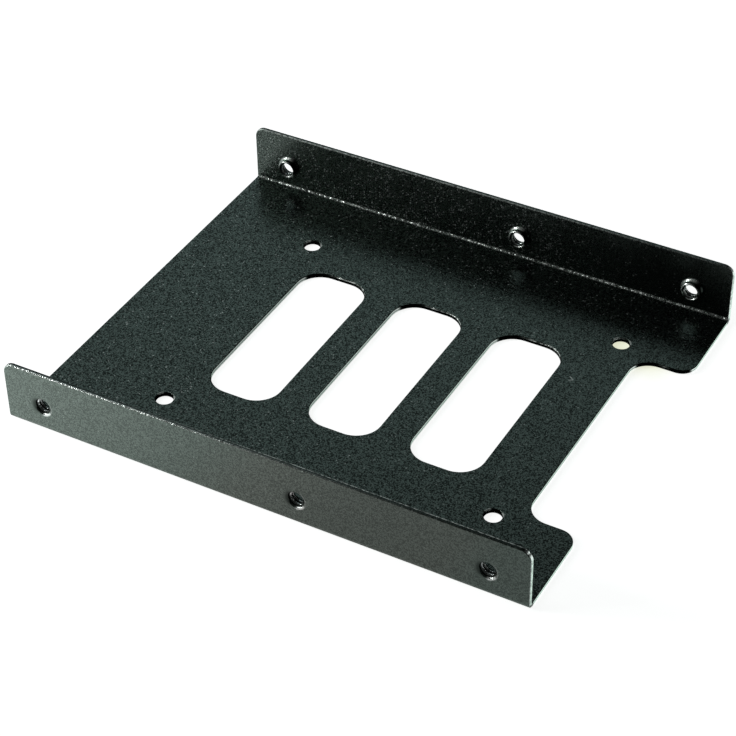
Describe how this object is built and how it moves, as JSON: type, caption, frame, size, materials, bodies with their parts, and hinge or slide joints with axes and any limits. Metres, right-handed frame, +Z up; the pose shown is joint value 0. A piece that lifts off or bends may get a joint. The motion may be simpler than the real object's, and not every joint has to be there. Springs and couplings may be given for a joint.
{
  "type": "hard drive cage",
  "caption": "Folded black steel tray that holds a small drive in a larger drive bay, with a slotted floor, connector notch, plain screw holes and upright flanges with drawn threaded holes",
  "frame": {"origin": "middle of the underside of the floor", "axes": "+X along the flanges to the notched connector end, +Y across to the rear flange, +Z up from the floor, the way the flanges stand"},
  "size_m": [0.1194, 0.1006, 0.0147],
  "materials": {
    "coat": "fine-texture black powder coat"
  },
  "bodies": {
    "root": {"tray": "coat"}
  },
  "joints": []
}
